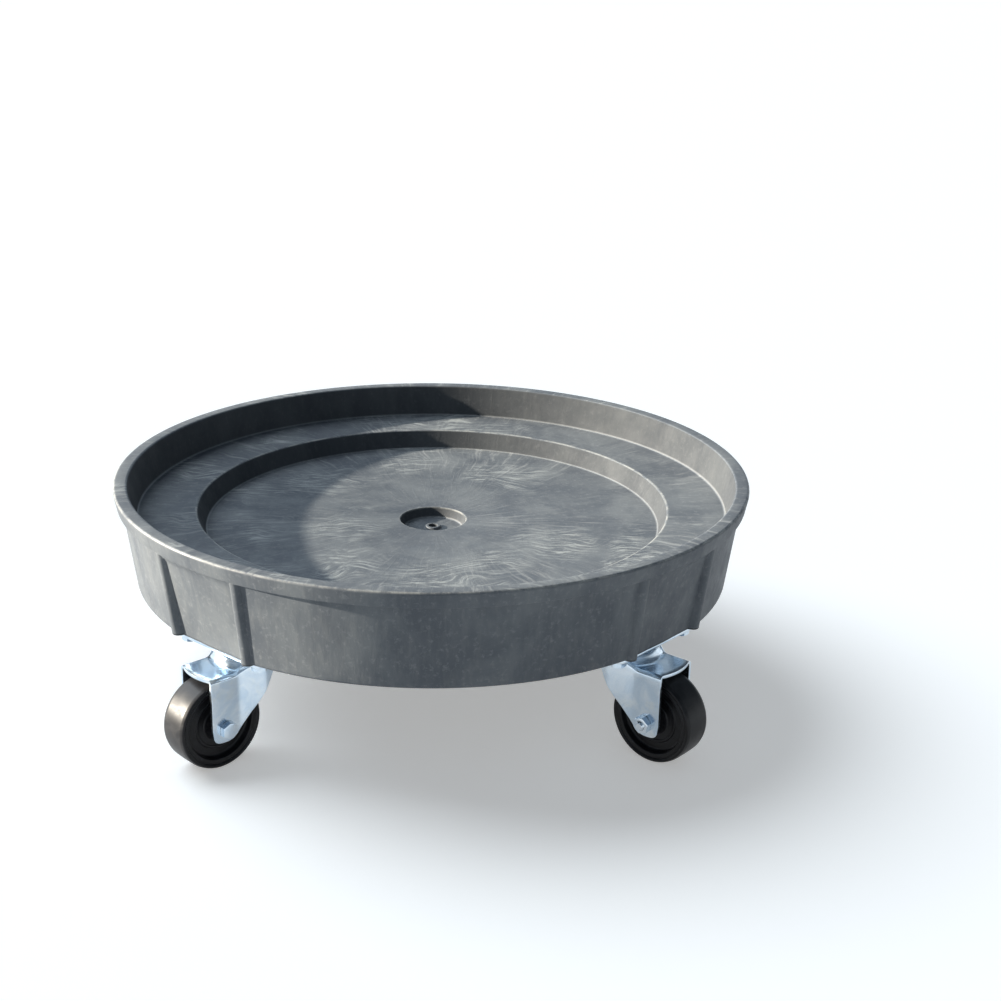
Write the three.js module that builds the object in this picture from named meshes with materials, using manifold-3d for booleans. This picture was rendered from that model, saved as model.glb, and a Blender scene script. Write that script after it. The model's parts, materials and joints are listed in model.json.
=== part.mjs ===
// Drum dolly: a moulded plastic deck with two nested drum recesses on four swivel casters.
// Millimetres, +Z up, front is -Y, floor at z = 0, deck axis on the Z axis.
import * as THREE from 'three';
import { mergeVertices } from 'three/addons/utils/BufferGeometryUtils.js';
import Module from 'manifold-3d';

const wasm = await Module();
wasm.setup();

// ---- deck -------------------------------------------------------------------------------
const RIM_R = 325; // outer radius of the rim
const RIM_TOP = 222; // height of the rim above the floor
const RIM_FLAT_IN = 312.5; // flat band on top of the rim, inner and outer radius
const RIM_FLAT_OUT = 320.5;
const RIM_ROUND = 4.5; // drop of the rounded outer rim edge
const COLLAR_Z = 206.5; // lower edge of the collar band
const COLLAR_R = 320.5;
const WALL_TOP_R = 317.2; // outer wall just under the collar
const WALL_FOOT_R = 306.2; // outer wall just above its rounded foot
const WALL_FOOT_Z = 126.5;
const DECK_BOTTOM = 120; // lower edge of the wall and face of the caster pads
const FOOT_OUT_R = 302.3;
const FOOT_IN_R = 297;
const LEDGE_Z = 188; // floor of the large-drum recess
const LEDGE_OUT_R = 301;
const LEDGE_IN_R = 245;
const FLOOR_Z = 168.5; // floor of the small-drum recess
const FLOOR_R = 233;
const SKIN = 7; // thickness of the floors
const PIT_R = 36.5; // centre dish
const PIT_FLOOR_R = 27;
const PIT_DEPTH = 10;
const DRAIN_R = 7;
const DECK_SEGMENTS = 48;

// ---- outside ribs and flat panels over each caster --------------------------------------
const RIB_ANGLE = 9.44; // degrees either side of the caster
const RIB_R = 6.2;
const RIB_SINK = 1.4; // how far a rib's centre line lies inside the wall face
const PANEL_HALF = 47; // half width of the flat panel between two ribs
const PANEL_TOP_X = 320; // distance of the panel from the deck axis, top and bottom
const PANEL_FOOT_X = 298.2;
const WALL_BLANK = 80; // side of the blank that a rib or a panel is cut from, well over the wall

// ---- stiffening under the deck ----------------------------------------------------------
const PAD_LENGTH = 84;
const PAD_WIDTH = 126;
const PAD_THICK = 12;
const BOSS_R = 11;
const BOSS_TOP = 146;
const WEB = 5;
const WEB_BOTTOM = 134;
const WEB_COUNT = 8;
const WEB_START_R = 34;
const MID_RING_R = 150;
const POCKET_R = 16; // clearance over each kingpin head
const POCKET_DEPTH = 7;

// ---- caster layout ----------------------------------------------------------------------
const CASTER_R = 258.5; // swivel axes sit on this circle
const CASTERS = {
  // angle of the caster round the deck, then how far its fork is turned from straight outward
  front_left: { at: -135, turn: -6.4 },
  front_right: { at: -45, turn: 1.6 },
  rear_right: { at: 45, turn: 0 },
  rear_left: { at: 135, turn: 0 },
};
const GAP = 0.3; // clearance between neighbouring pieces

// ---- caster pieces, swivel axis at x = 0, fork trailing to +x ----------------------------
const PLATE_TOP = DECK_BOTTOM - GAP;
const PLATE_THICK = 3.1;
const PLATE_UNDER = PLATE_TOP - PLATE_THICK;
const PLATE_LENGTH = 78;
const PLATE_WIDTH = 121;
const PLATE_CORNER = 7;
const SKIRT_OUT_R = 33;
const SKIRT_IN_R = 29.5;
const SKIRT_BOTTOM = 109.6;
const RACE_OUT_R = 28.5;
const RACE_IN_R = 19;
const RACE_BOTTOM = 114.6;
const BOLT_X = 27;
const BOLT_Y = 50;
const BOLT_R = 4;
const BOLT_TOP = 141;
const BOLT_HEAD_R = 8;
const BOLT_HEAD_H = 5.5;
const FLANGE_R = 9.2; // washer face under each bolt head
const FLANGE_H = 1.6;

const KINGPIN_R = 6;
const KINGPIN_HEAD_R = 12;
const KINGPIN_HEAD_H = 4;
const KINGPIN_FOOT_R = 9.5; // rivetted lower end
const KINGPIN_FOOT_TOP = 100.2;
const KINGPIN_BOTTOM = 95;
const LOWER_RACE_TOP = 104.7;
const LOWER_RACE_BOTTOM = KINGPIN_FOOT_TOP + GAP;
const LOWER_RACE_R = 18;

const SHEET = 3; // fork sheet thickness
const CROWN_TOP = 98;
const CROWN_R = 37; // round part of the crown
const CROWN_NOSE_X = 61.5; // middle of the bowed trailing edge
const LEG_OUT_X = 57.5;
const LEG_Y = 25.7; // outer face of each leg
const CREASE_X = 27; // legs flare outward inboard of this line
const FLARE_X = 3; // the flare ends here, and the leg runs straight on to its inboard edge
const LEG_IN_X = -6;
const HAT_TOP = 108;
const HAT_FOOT_R = 36;
const HAT_TOP_R = 31;
const BALL_R = 3;
const BALL_PITCH_R = 24;
const BALL_COUNT = 6;
const RETAINER_OUT_R = 28.8; // flat ring that spaces the balls
const RETAINER_IN_R = 19;
const RETAINER_H = 1.6;

const WHEEL_R = 44.5;
const WHEEL_HALF = 16;
const AXLE_X = 41.5;
const AXLE_Z = WHEEL_R;
const AXLE_R = 4.5;
const AXLE_HEX_R = 8.7;
const AXLE_HEAD_H = 6;
const AXLE_NUT_H = 7;
const AXLE_END_Y = 35;
const SLEEVE_R = 7;
const ROLLER_R = 1.3;
const ROLLER_COUNT = 7;
const ROLLER_HALF = 17;
const CAGE_RING = 2; // width of the cage ring at each end of the rollers
const BORE_R = 10.25;
const HUB_R = 15;
const HUB_HALF = 21.6;

const HEX = 6;
const SMALL_SEGMENTS = 8;
const MID_SEGMENTS = 12;
const RING_SEGMENTS = 20;
const WHEEL_SEGMENTS = 24;
const degrees = THREE.MathUtils.degToRad;

// ---- solid helpers ----------------------------------------------------------------------
function solid(geometry) {
  const bare = geometry.index ? geometry.clone() : geometry;
  bare.deleteAttribute('normal');
  bare.deleteAttribute('uv');
  const welded = mergeVertices(bare, 1e-4);
  const mesh = new wasm.Mesh({
    numProp: 3,
    vertProperties: new Float32Array(welded.attributes.position.array),
    triVerts: new Uint32Array(welded.index.array),
  });
  return new wasm.Manifold(mesh);
}

function joined(solids) {
  return solids.reduce((whole, next) => whole.add(next));
}

// A closed profile of [radius, z] pairs turned about the Z axis.
function turned(profile, segments) {
  const points = [...profile, profile[0]].map(([r, z]) => new THREE.Vector2(r, z));
  if (THREE.ShapeUtils.area(points) < 0) {
    points.reverse();
  }
  const geometry = new THREE.LatheGeometry(points, segments);
  geometry.rotateX(Math.PI / 2);
  return solid(geometry);
}

// A [x, y] outline raised from z = bottom to z = top.
function raised(outline, bottom, top, holes = []) {
  const shape = new THREE.Shape(outline.map(([x, y]) => new THREE.Vector2(x, y)));
  for (const hole of holes) {
    shape.holes.push(new THREE.Path(hole.map(([x, y]) => new THREE.Vector2(x, y))));
  }
  const geometry = new THREE.ExtrudeGeometry(shape, { depth: top - bottom, bevelEnabled: false });
  geometry.translate(0, 0, bottom);
  return solid(geometry);
}

function polygon(radius, sides, x = 0, y = 0, start = 0) {
  return Array.from({ length: sides }, (_, i) => {
    const a = start + (i * 2 * Math.PI) / sides;
    return [x + radius * Math.cos(a), y + radius * Math.sin(a)];
  });
}

function block(x, y, z, width, depth, height) {
  const geometry = new THREE.BoxGeometry(width, depth, height);
  geometry.translate(x, y, z);
  return solid(geometry);
}

function pillar(radius, bottom, top, x, y, sides = SMALL_SEGMENTS) {
  return raised(polygon(radius, sides, x, y), bottom, top);
}

// Turns a piece made along Z so that it lies along the wheel axle.
function alongAxle(piece) {
  return piece.rotate([90, 0, 0]).translate([AXLE_X, 0, AXLE_Z]);
}

function ring(outer, inner, bottom, top, segments) {
  return raised(polygon(outer, segments), bottom, top, [polygon(inner, segments)]);
}

// ---- deck -------------------------------------------------------------------------------
function deckShell() {
  const pitZ = FLOOR_Z - PIT_DEPTH;
  const profile = [
    [DRAIN_R, pitZ],
    [PIT_FLOOR_R, pitZ],
    [PIT_FLOOR_R + 5, pitZ + 3.5],
    [PIT_R, FLOOR_Z],
    [FLOOR_R, FLOOR_Z],
    [FLOOR_R + 2, FLOOR_Z + 1.5],
    [LEDGE_IN_R - 3.5, LEDGE_Z - 2.5],
    [LEDGE_IN_R, LEDGE_Z],
    [LEDGE_OUT_R, LEDGE_Z],
    [LEDGE_OUT_R + 2.3, LEDGE_Z + 2],
    [RIM_FLAT_IN - 2.6, RIM_TOP - 3],
    [RIM_FLAT_IN, RIM_TOP],
    [RIM_FLAT_OUT, RIM_TOP],
    [RIM_R - 1.3, RIM_TOP - 1.3],
    [RIM_R, RIM_TOP - RIM_ROUND],
    [COLLAR_R, COLLAR_Z],
    [WALL_TOP_R, COLLAR_Z - 1],
    [WALL_FOOT_R, WALL_FOOT_Z],
    [WALL_FOOT_R - 1.3, DECK_BOTTOM + 2.2],
    [FOOT_OUT_R, DECK_BOTTOM],
    [FOOT_IN_R, DECK_BOTTOM],
    [LEDGE_OUT_R + 5, LEDGE_Z - SKIN],
    [LEDGE_IN_R + 4, LEDGE_Z - SKIN],
    [FLOOR_R + 9, FLOOR_Z - SKIN],
    [PIT_R + 6, FLOOR_Z - SKIN],
    [PIT_R, pitZ - SKIN],
    [DRAIN_R, pitZ - SKIN],
  ];
  return turned(profile, DECK_SEGMENTS);
}

// Space under the floors, a little larger than the hollow, that trims the stiffening to fit.
function hollowUnderDeck() {
  const bite = 1.5;
  return turned(
    [
      [DRAIN_R + 8, FLOOR_Z - PIT_DEPTH - SKIN + bite],
      [DRAIN_R + 8, DECK_BOTTOM],
      [FOOT_IN_R + bite, DECK_BOTTOM],
      [LEDGE_OUT_R + 5 + bite, LEDGE_Z - SKIN + bite],
      [LEDGE_IN_R + 4 - bite, LEDGE_Z - SKIN + bite],
      [FLOOR_R + 9 - bite, FLOOR_Z - SKIN + bite],
      [PIT_R + 6 - bite, FLOOR_Z - SKIN + bite],
      [PIT_R - bite, FLOOR_Z - PIT_DEPTH - SKIN + bite],
    ],
    DECK_SEGMENTS,
  );
}

function padAndBosses() {
  const pieces = [
    block(CASTER_R, 0, DECK_BOTTOM + PAD_THICK / 2, PAD_LENGTH, PAD_WIDTH, PAD_THICK),
  ];
  for (const side of [-1, 1]) {
    const y = side * (PAD_WIDTH / 2 - WEB / 2);
    pieces.push(block(CASTER_R, y, (DECK_BOTTOM + LEDGE_Z) / 2, PAD_LENGTH, WEB, LEDGE_Z - DECK_BOTTOM));
    for (const end of [-1, 1]) {
      pieces.push(pillar(BOSS_R, DECK_BOTTOM, BOSS_TOP, CASTER_R + end * BOLT_X, side * BOLT_Y));
    }
  }
  const innerX = CASTER_R - PAD_LENGTH / 2 + WEB / 2;
  pieces.push(block(innerX, 0, (DECK_BOTTOM + BOSS_TOP) / 2, WEB, PAD_WIDTH, BOSS_TOP - DECK_BOTTOM));
  return joined(pieces);
}

function stiffening() {
  const pieces = [];
  for (const { at } of Object.values(CASTERS)) {
    pieces.push(padAndBosses().rotate([0, 0, at]));
  }
  const span = FOOT_IN_R - WEB_START_R;
  const height = LEDGE_Z - WEB_BOTTOM;
  for (let i = 0; i < WEB_COUNT; i += 1) {
    const web = block(WEB_START_R + span / 2, 0, WEB_BOTTOM + height / 2, span, WEB, height);
    pieces.push(web.rotate([0, 0, (i * 360) / WEB_COUNT]));
  }
  const ringIn = MID_RING_R - WEB / 2;
  pieces.push(ring(ringIn + WEB, ringIn, WEB_BOTTOM, FLOOR_Z - SKIN + 1, 2 * RING_SEGMENTS));
  return joined(pieces).intersect(hollowUnderDeck());
}

function outsideRib(side) {
  const lean = Math.atan2(WALL_TOP_R - WALL_FOOT_R, COLLAR_Z - WALL_FOOT_Z);
  const length = COLLAR_Z - DECK_BOTTOM + 4;
  const geometry = new THREE.CylinderGeometry(RIB_R, RIB_R, length, MID_SEGMENTS);
  geometry.rotateX(Math.PI / 2);
  geometry.translate(0, 0, length / 2 - 2);
  geometry.rotateY(lean);
  geometry.translate(WALL_FOOT_R - RIB_SINK, 0, DECK_BOTTOM);
  const clipHeight = COLLAR_Z - DECK_BOTTOM;
  const clip = block(RIM_R, 0, DECK_BOTTOM + clipHeight / 2, WALL_BLANK, WALL_BLANK, clipHeight);
  return solid(geometry).intersect(clip).rotate([0, 0, side * RIB_ANGLE]);
}

// Thickens the wall between two ribs so that it runs flush with the collar.
function panelBlank() {
  const wedge = turned(
    [
      [FOOT_IN_R + 2, DECK_BOTTOM + 1],
      [FOOT_OUT_R - 0.5, DECK_BOTTOM + 1],
      [COLLAR_R - 0.2, COLLAR_Z + 1],
      [LEDGE_OUT_R + 10, COLLAR_Z + 1],
    ],
    DECK_SEGMENTS,
  );
  return wedge.intersect(block(RIM_R, 0, RIM_TOP / 2, WALL_BLANK, 2 * PANEL_HALF, 2 * RIM_TOP));
}

// Everything outside the sloping flat of one panel.
function panelCut() {
  const outline = [
    [PANEL_FOOT_X, DECK_BOTTOM - 1],
    [RIM_R + 10, DECK_BOTTOM - 1],
    [RIM_R + 10, COLLAR_Z - 0.5],
    [PANEL_TOP_X, COLLAR_Z - 0.5],
  ];
  return raised(outline, -PANEL_HALF, PANEL_HALF).rotate([90, 0, 0]);
}

function deck() {
  const places = Object.values(CASTERS).map(({ at }) => at);
  const around = (piece) => joined(places.map((at) => piece.rotate([0, 0, at])));
  const holes = [
    pillar(POCKET_R, DECK_BOTTOM - 1, DECK_BOTTOM + POCKET_DEPTH, CASTER_R, 0, MID_SEGMENTS),
  ];
  for (const [x, y] of boltPlaces()) {
    holes.push(pillar(BOLT_R + GAP, DECK_BOTTOM - 1, BOLT_TOP + GAP, CASTER_R + x, y));
  }
  return joined([deckShell(), around(panelBlank()), stiffening()])
    .subtract(around(panelCut()))
    .add(around(outsideRib(-1)))
    .add(around(outsideRib(1)))
    .subtract(around(joined(holes)));
}

// ---- caster: fixed pieces ----------------------------------------------------------------
function boltPlaces() {
  return [-1, 1].flatMap((i) => [-1, 1].map((j) => [i * BOLT_X, j * BOLT_Y]));
}

function roundedRectangle(length, width, corner) {
  const points = [];
  const steps = 3;
  const quarters = [[1, 1], [-1, 1], [-1, -1], [1, -1]];
  quarters.forEach(([sx, sy], quarter) => {
    for (let i = 0; i <= steps; i += 1) {
      const a = ((quarter + i / steps) * Math.PI) / 2;
      const x = sx * (length / 2 - corner) + corner * Math.cos(a);
      points.push([x, sy * (width / 2 - corner) + corner * Math.sin(a)]);
    }
  });
  return points;
}

function topPlate() {
  const holes = boltPlaces().map(([x, y]) => polygon(BOLT_R + GAP, SMALL_SEGMENTS, x, y));
  holes.push(polygon(KINGPIN_R + GAP, MID_SEGMENTS));
  const outline = roundedRectangle(PLATE_LENGTH, PLATE_WIDTH, PLATE_CORNER);
  const flat = raised(outline, PLATE_UNDER, PLATE_TOP, holes);
  const overlap = PLATE_UNDER + 1;
  const skirt = ring(SKIRT_OUT_R, SKIRT_IN_R, SKIRT_BOTTOM, overlap, RING_SEGMENTS);
  const race = ring(RACE_OUT_R, RACE_IN_R, RACE_BOTTOM, overlap, RING_SEGMENTS);
  return joined([flat, skirt, race]);
}

function mountBolt([x, y]) {
  const flangeTop = PLATE_UNDER - GAP;
  const headTop = flangeTop - FLANGE_H;
  return joined([
    raised(polygon(BOLT_HEAD_R, HEX, x, y), headTop - BOLT_HEAD_H, headTop + 0.5),
    pillar(FLANGE_R, headTop, flangeTop, x, y),
    pillar(BOLT_R, flangeTop - 1, BOLT_TOP, x, y),
  ]);
}

function kingpin() {
  const headBottom = PLATE_TOP + GAP;
  return joined([
    raised(polygon(KINGPIN_HEAD_R, MID_SEGMENTS), headBottom, headBottom + KINGPIN_HEAD_H),
    raised(polygon(KINGPIN_R, MID_SEGMENTS), KINGPIN_BOTTOM, headBottom + 1),
    raised(polygon(KINGPIN_FOOT_R, MID_SEGMENTS), KINGPIN_BOTTOM, KINGPIN_FOOT_TOP),
  ]);
}

function lowerRace() {
  return turned(
    [
      [KINGPIN_R + GAP, LOWER_RACE_BOTTOM],
      [LOWER_RACE_R - 4, LOWER_RACE_BOTTOM],
      [LOWER_RACE_R, LOWER_RACE_TOP - 1.5],
      [LOWER_RACE_R, LOWER_RACE_TOP],
      [KINGPIN_R + GAP, LOWER_RACE_TOP],
    ],
    MID_SEGMENTS,
  );
}

// Balls and the flat ring that spaces them, as one piece.
function swivelBearing() {
  const height = HAT_TOP + GAP + BALL_R;
  const pieces = [
    ring(RETAINER_OUT_R, RETAINER_IN_R, height - RETAINER_H / 2, height + RETAINER_H / 2, MID_SEGMENTS),
  ];
  for (let i = 0; i < BALL_COUNT; i += 1) {
    const a = (i * 2 * Math.PI) / BALL_COUNT;
    const geometry = new THREE.SphereGeometry(BALL_R, 6, 4);
    geometry.rotateX(Math.PI / 2);
    geometry.translate(BALL_PITCH_R * Math.cos(a), BALL_PITCH_R * Math.sin(a), height);
    pieces.push(solid(withoutSlivers(geometry)));
  }
  return joined(pieces);
}

// Drops the zero-area triangles a sphere has at its poles.
function withoutSlivers(geometry) {
  geometry.deleteAttribute('normal');
  geometry.deleteAttribute('uv');
  const welded = mergeVertices(geometry, 1e-4);
  const kept = [];
  for (let i = 0; i < welded.index.count; i += 3) {
    const [a, b, c] = [0, 1, 2].map((k) => welded.index.getX(i + k));
    if (a !== b && b !== c && c !== a) {
      kept.push(a, b, c);
    }
  }
  welded.setIndex(kept);
  return welded;
}

// ---- caster: swivelling pieces -----------------------------------------------------------
function crownOutline() {
  const half = [[CROWN_NOSE_X, 0], [CROWN_NOSE_X - 0.9, 13], [LEG_OUT_X, LEG_Y], [CREASE_X, LEG_Y]];
  const arcSteps = 9;
  const arcStart = degrees(84);
  for (let i = 0; i < arcSteps; i += 1) {
    const a = arcStart + (i * (Math.PI - arcStart)) / arcSteps;
    half.push([CROWN_R * Math.cos(a), CROWN_R * Math.sin(a)]);
  }
  const mirrored = half.slice(1).reverse().map(([x, y]) => [x, -y]);
  return [...half, [-CROWN_R, 0], ...mirrored];
}

// Side view of a leg: x along the trail, z up.
function legSide() {
  return [
    [LEG_OUT_X, CROWN_TOP],
    [LEG_OUT_X - 0.5, 40],
    [55.3, 34.3],
    [50.5, 31.8],
    [43, 31.4],
    [35.5, 32.6],
    [30, 36.4],
    [25.6, 42.2],
    [19, 53],
    [10.5, 63],
    [4.5, 72],
    [-1, 84],
    [-4, CROWN_TOP],
  ];
}

function forkLegs() {
  const flareY = CROWN_R - 0.5;
  const blankX = CROWN_NOSE_X + 1;
  const slope = (flareY - LEG_Y) / (CREASE_X - FLARE_X);
  const strip = [
    [blankX, LEG_Y],
    [CREASE_X, LEG_Y],
    [FLARE_X, flareY],
    [LEG_IN_X, flareY],
    [LEG_IN_X, flareY - SHEET],
    [FLARE_X - slope, flareY - SHEET],
    [CREASE_X - slope, LEG_Y - SHEET],
    [blankX, LEG_Y - SHEET],
  ];
  const walls = [-1, 1].map((side) => {
    const outline = strip.map(([x, y]) => [x, side * y]);
    return raised(outline, 0, CROWN_TOP);
  });
  const side = raised(legSide(), -CROWN_R - 5, CROWN_R + 5).rotate([90, 0, 0]);
  return joined(walls).intersect(side);
}

function forkHat() {
  const outside = [
    [HAT_FOOT_R, CROWN_TOP - 0.5],
    [HAT_FOOT_R, CROWN_TOP],
    [HAT_TOP_R + 2.5, CROWN_TOP + 3.2],
    [HAT_TOP_R + 0.6, CROWN_TOP + 7],
    [HAT_TOP_R - 1.2, HAT_TOP],
    [KINGPIN_R + GAP, HAT_TOP],
    [KINGPIN_R + GAP, HAT_TOP - SHEET],
    [HAT_TOP_R - 4, HAT_TOP - SHEET],
    [HAT_TOP_R - 2, CROWN_TOP + 2],
    [HAT_TOP_R + 1, CROWN_TOP - SHEET],
    [HAT_FOOT_R, CROWN_TOP - SHEET],
  ];
  return turned(outside, RING_SEGMENTS);
}

function fork() {
  const opening = polygon(HAT_TOP_R + 2, RING_SEGMENTS);
  const crown = raised(crownOutline(), CROWN_TOP - SHEET, CROWN_TOP, [opening]);
  const axleHole = alongAxle(raised(polygon(AXLE_R + GAP, MID_SEGMENTS), -LEG_Y - 5, LEG_Y + 5));
  return joined([crown, forkLegs(), forkHat()]).subtract(axleHole);
}

function axleBolt() {
  const head = LEG_Y + GAP;
  const shank = raised(polygon(AXLE_R, MID_SEGMENTS), -head - 1, AXLE_END_Y);
  return alongAxle(joined([shank, raised(polygon(AXLE_HEX_R, HEX), -head - AXLE_HEAD_H, -head)]));
}

function axleNut() {
  const face = LEG_Y + GAP;
  const hole = polygon(AXLE_R + GAP, MID_SEGMENTS);
  return alongAxle(raised(polygon(AXLE_HEX_R, HEX, 0, 0, degrees(12)), face, face + AXLE_NUT_H, [hole]));
}

function axleSleeve() {
  const half = LEG_Y - SHEET - GAP;
  return alongAxle(ring(SLEEVE_R, AXLE_R + GAP, -half, half, MID_SEGMENTS));
}

// ---- caster: rolling pieces --------------------------------------------------------------
// Needle rollers with the cage ring at each end, as one piece.
function rollerBearing() {
  const pitch = SLEEVE_R + GAP + ROLLER_R;
  const pieces = [];
  for (const end of [-ROLLER_HALF - CAGE_RING, ROLLER_HALF]) {
    pieces.push(ring(pitch + ROLLER_R, SLEEVE_R + GAP, end, end + CAGE_RING, MID_SEGMENTS));
  }
  for (let i = 0; i < ROLLER_COUNT; i += 1) {
    const a = (i * 2 * Math.PI) / ROLLER_COUNT;
    const outline = polygon(ROLLER_R, HEX, pitch * Math.cos(a), pitch * Math.sin(a));
    pieces.push(raised(outline, -ROLLER_HALF - 1, ROLLER_HALF + 1));
  }
  return alongAxle(joined(pieces));
}

function wheel() {
  const half = [
    [BORE_R, HUB_HALF],
    [HUB_R, HUB_HALF],
    [HUB_R + 1.5, 9.5],
    [WHEEL_R - 10.5, 8.5],
    [WHEEL_R - 9, WHEEL_HALF - 0.6],
    [WHEEL_R - 1.8, WHEEL_HALF],
    [WHEEL_R, WHEEL_HALF - 2],
  ];
  const mirrored = half.slice().reverse().map(([r, y]) => [r, -y]);
  return alongAxle(turned([...half, ...mirrored], WHEEL_SEGMENTS));
}

// ---- materials and assembly ---------------------------------------------------------------
const FINISHES = {
  deck_plastic: { color: 0x3f464c, metalness: 0, roughness: 0.6 },
  zinc_plate: { color: 0xb9c6d0, metalness: 0.85, roughness: 0.35 },
  steel_ball: { color: 0xd0d3d6, metalness: 1, roughness: 0.15 },
  wheel_rubber: { color: 0x17181b, metalness: 0, roughness: 0.55 },
};

const FIXED_PIECES = {
  top_plate: [topPlate, 'zinc_plate'],
  kingpin: [kingpin, 'zinc_plate'],
  lower_race: [lowerRace, 'zinc_plate'],
};
boltPlaces().forEach((place, i) => {
  FIXED_PIECES[`mount_bolt_${i + 1}`] = [() => mountBolt(place), 'zinc_plate'];
});

const SWIVEL_PIECES = {
  swivel_bearing: [swivelBearing, 'steel_ball'],
  fork: [fork, 'zinc_plate'],
  axle_bolt: [axleBolt, 'zinc_plate'],
  axle_nut: [axleNut, 'zinc_plate'],
  axle_sleeve: [axleSleeve, 'zinc_plate'],
  roller_bearing: [rollerBearing, 'steel_ball'],
  wheel: [wheel, 'wheel_rubber'],
};

function mesh(name, piece, finish) {
  const { vertProperties, triVerts } = piece.getMesh();
  const geometry = new THREE.BufferGeometry();
  geometry.setAttribute('position', new THREE.BufferAttribute(new Float32Array(vertProperties), 3));
  geometry.setIndex(new THREE.BufferAttribute(new Uint32Array(triVerts), 1));
  geometry.computeVertexNormals();
  const result = new THREE.Mesh(geometry, new THREE.MeshStandardMaterial(FINISHES[finish]));
  result.name = name;
  return result;
}

const dolly = new THREE.Group();
dolly.name = 'drum_dolly';
dolly.add(mesh('deck', deck(), 'deck_plastic'));
for (const [place, { at, turn }] of Object.entries(CASTERS)) {
  for (const [name, [make, finish]] of Object.entries(FIXED_PIECES)) {
    const piece = make().translate([CASTER_R, 0, 0]).rotate([0, 0, at]);
    dolly.add(mesh(`${place}_${name}`, piece, finish));
  }
  for (const [name, [make, finish]] of Object.entries(SWIVEL_PIECES)) {
    const piece = make().rotate([0, 0, turn]).translate([CASTER_R, 0, 0]).rotate([0, 0, at]);
    dolly.add(mesh(`${place}_${name}`, piece, finish));
  }
}

export default dolly;
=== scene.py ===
# Drum dolly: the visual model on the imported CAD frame. The builders work in millimetres, and
# the meshes they give are in metres. Front is -Y, +Z is up, the floor is z = 0.
import json
import math

import bmesh
import bpy
import numpy as np
from mathutils import Matrix, Vector


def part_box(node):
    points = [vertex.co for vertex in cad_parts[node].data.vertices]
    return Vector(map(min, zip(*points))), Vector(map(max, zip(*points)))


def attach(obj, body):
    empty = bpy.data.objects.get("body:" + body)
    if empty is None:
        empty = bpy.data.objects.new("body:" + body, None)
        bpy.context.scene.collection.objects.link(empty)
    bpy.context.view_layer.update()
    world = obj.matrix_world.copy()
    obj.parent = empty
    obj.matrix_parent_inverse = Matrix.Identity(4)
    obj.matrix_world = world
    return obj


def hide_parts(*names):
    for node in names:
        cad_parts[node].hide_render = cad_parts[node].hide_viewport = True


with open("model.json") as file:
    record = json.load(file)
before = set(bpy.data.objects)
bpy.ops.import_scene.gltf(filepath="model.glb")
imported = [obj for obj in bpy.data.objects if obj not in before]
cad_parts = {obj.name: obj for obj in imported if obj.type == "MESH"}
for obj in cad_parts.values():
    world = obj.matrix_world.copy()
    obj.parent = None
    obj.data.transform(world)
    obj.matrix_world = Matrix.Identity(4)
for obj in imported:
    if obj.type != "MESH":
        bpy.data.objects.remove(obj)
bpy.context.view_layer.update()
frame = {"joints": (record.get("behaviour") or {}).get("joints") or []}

MM = 0.001
TAU = 2 * math.pi
PLACES = ("front_left", "front_right", "rear_right", "rear_left")


def box_mm(node):
    low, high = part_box(node)
    return low / MM, high / MM


# ---- driving sizes, from the frame --------------------------------------------------------
DECK_LOW, DECK_HIGH = box_mm("deck")
RIM_R = DECK_HIGH.x
RIM_TOP = DECK_HIGH.z
DECK_BOTTOM = DECK_LOW.z
WHEEL_R = box_mm("front_left_wheel")[1].z / 2
PIVOTS = {j["name"]: Vector(j["pos_m"]) / MM for j in frame["joints"]}
CASTER_R = PIVOTS["rear_right_swivel_turn"].xy.length
AXLE_X = (PIVOTS["rear_right_wheel_spin"] - PIVOTS["rear_right_swivel_turn"]).xy.length
PLATE_TOP = box_mm("rear_right_top_plate")[1].z
HAT_TOP = box_mm("rear_right_fork")[1].z
BALL_Z = sum(p.z for p in box_mm("rear_right_swivel_bearing")) / 2

# ---- deck section: a pair is (radius, height), a third number is the rounding there --------
SKIN = 7  # thickness of the floors and ledges
FLOOR_Z = 168.5
LEDGE_Z = 188
PIT_Z = 158.5
WALL_TOP = (317.2, 205.5)
WALL_FOOT = (305.3, DECK_BOTTOM)
COLLAR = (322.3, 206)  # lower edge of the band round the rim
RIM_CORNER = (RIM_R + 0.6, RIM_TOP, 2.6)  # its round reaches just to RIM_R
FOOT_IN_R = 297
CASTER_ANGLES = (-135, -45, 45, 135)
EVEN_STEP = 1  # degrees between the deck's columns of points
FINE_STEP = 0.15  # and across a rib
FINE_REACH = 2.2
LEAST_STEP = 0.05
NEAR_CASTER = 20  # ribs and panels lie within these degrees of a caster
WALL_ROWS = 26
RIB_ANGLE = 9.44  # degrees either side of a caster
RIB_R = 6.4
RIB_DEPTH = 8
RIB_FOOT = (309.2, DECK_BOTTOM)
RIB_TOP = (321.9, 206)
RIB_POWER = 2.3  # how squarely a rib is rounded: 2 is a half circle
PANEL_HALF = 47  # half the width of the panel between two ribs
PANEL_FOOT = (298.2, 119)
PANEL_TOP = (317.4, 206)
COVE = (197, 4)  # a panel curves out to meet the collar: from this height, by this much
BLEND = 1.6  # width of the soft corner where a rib meets the wall or panel

# ---- under the deck -----------------------------------------------------------------------
PAD = (84, 126, 12)  # along the radius, across it, thick
BOSS_R = 11
BOSS_TOP = 146
WEB = 5  # thickness of a web
WEB_BOTTOM = 134
WEB_START_R = 34
WEB_COUNT = 8
MID_RING_R = 150
MIDDLE_R = 15  # open round the hole in the drain pit
POCKET_R = 16
POCKET_TOP = DECK_BOTTOM + 7
BOLT_X = 27
BOLT_Y = 50
BOLT_TOP = 141
BOLT_R = 4
CLEARANCE = 0.3  # round a bolt, and between pieces held together
PIN_HOLE_R = 6.3

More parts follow.
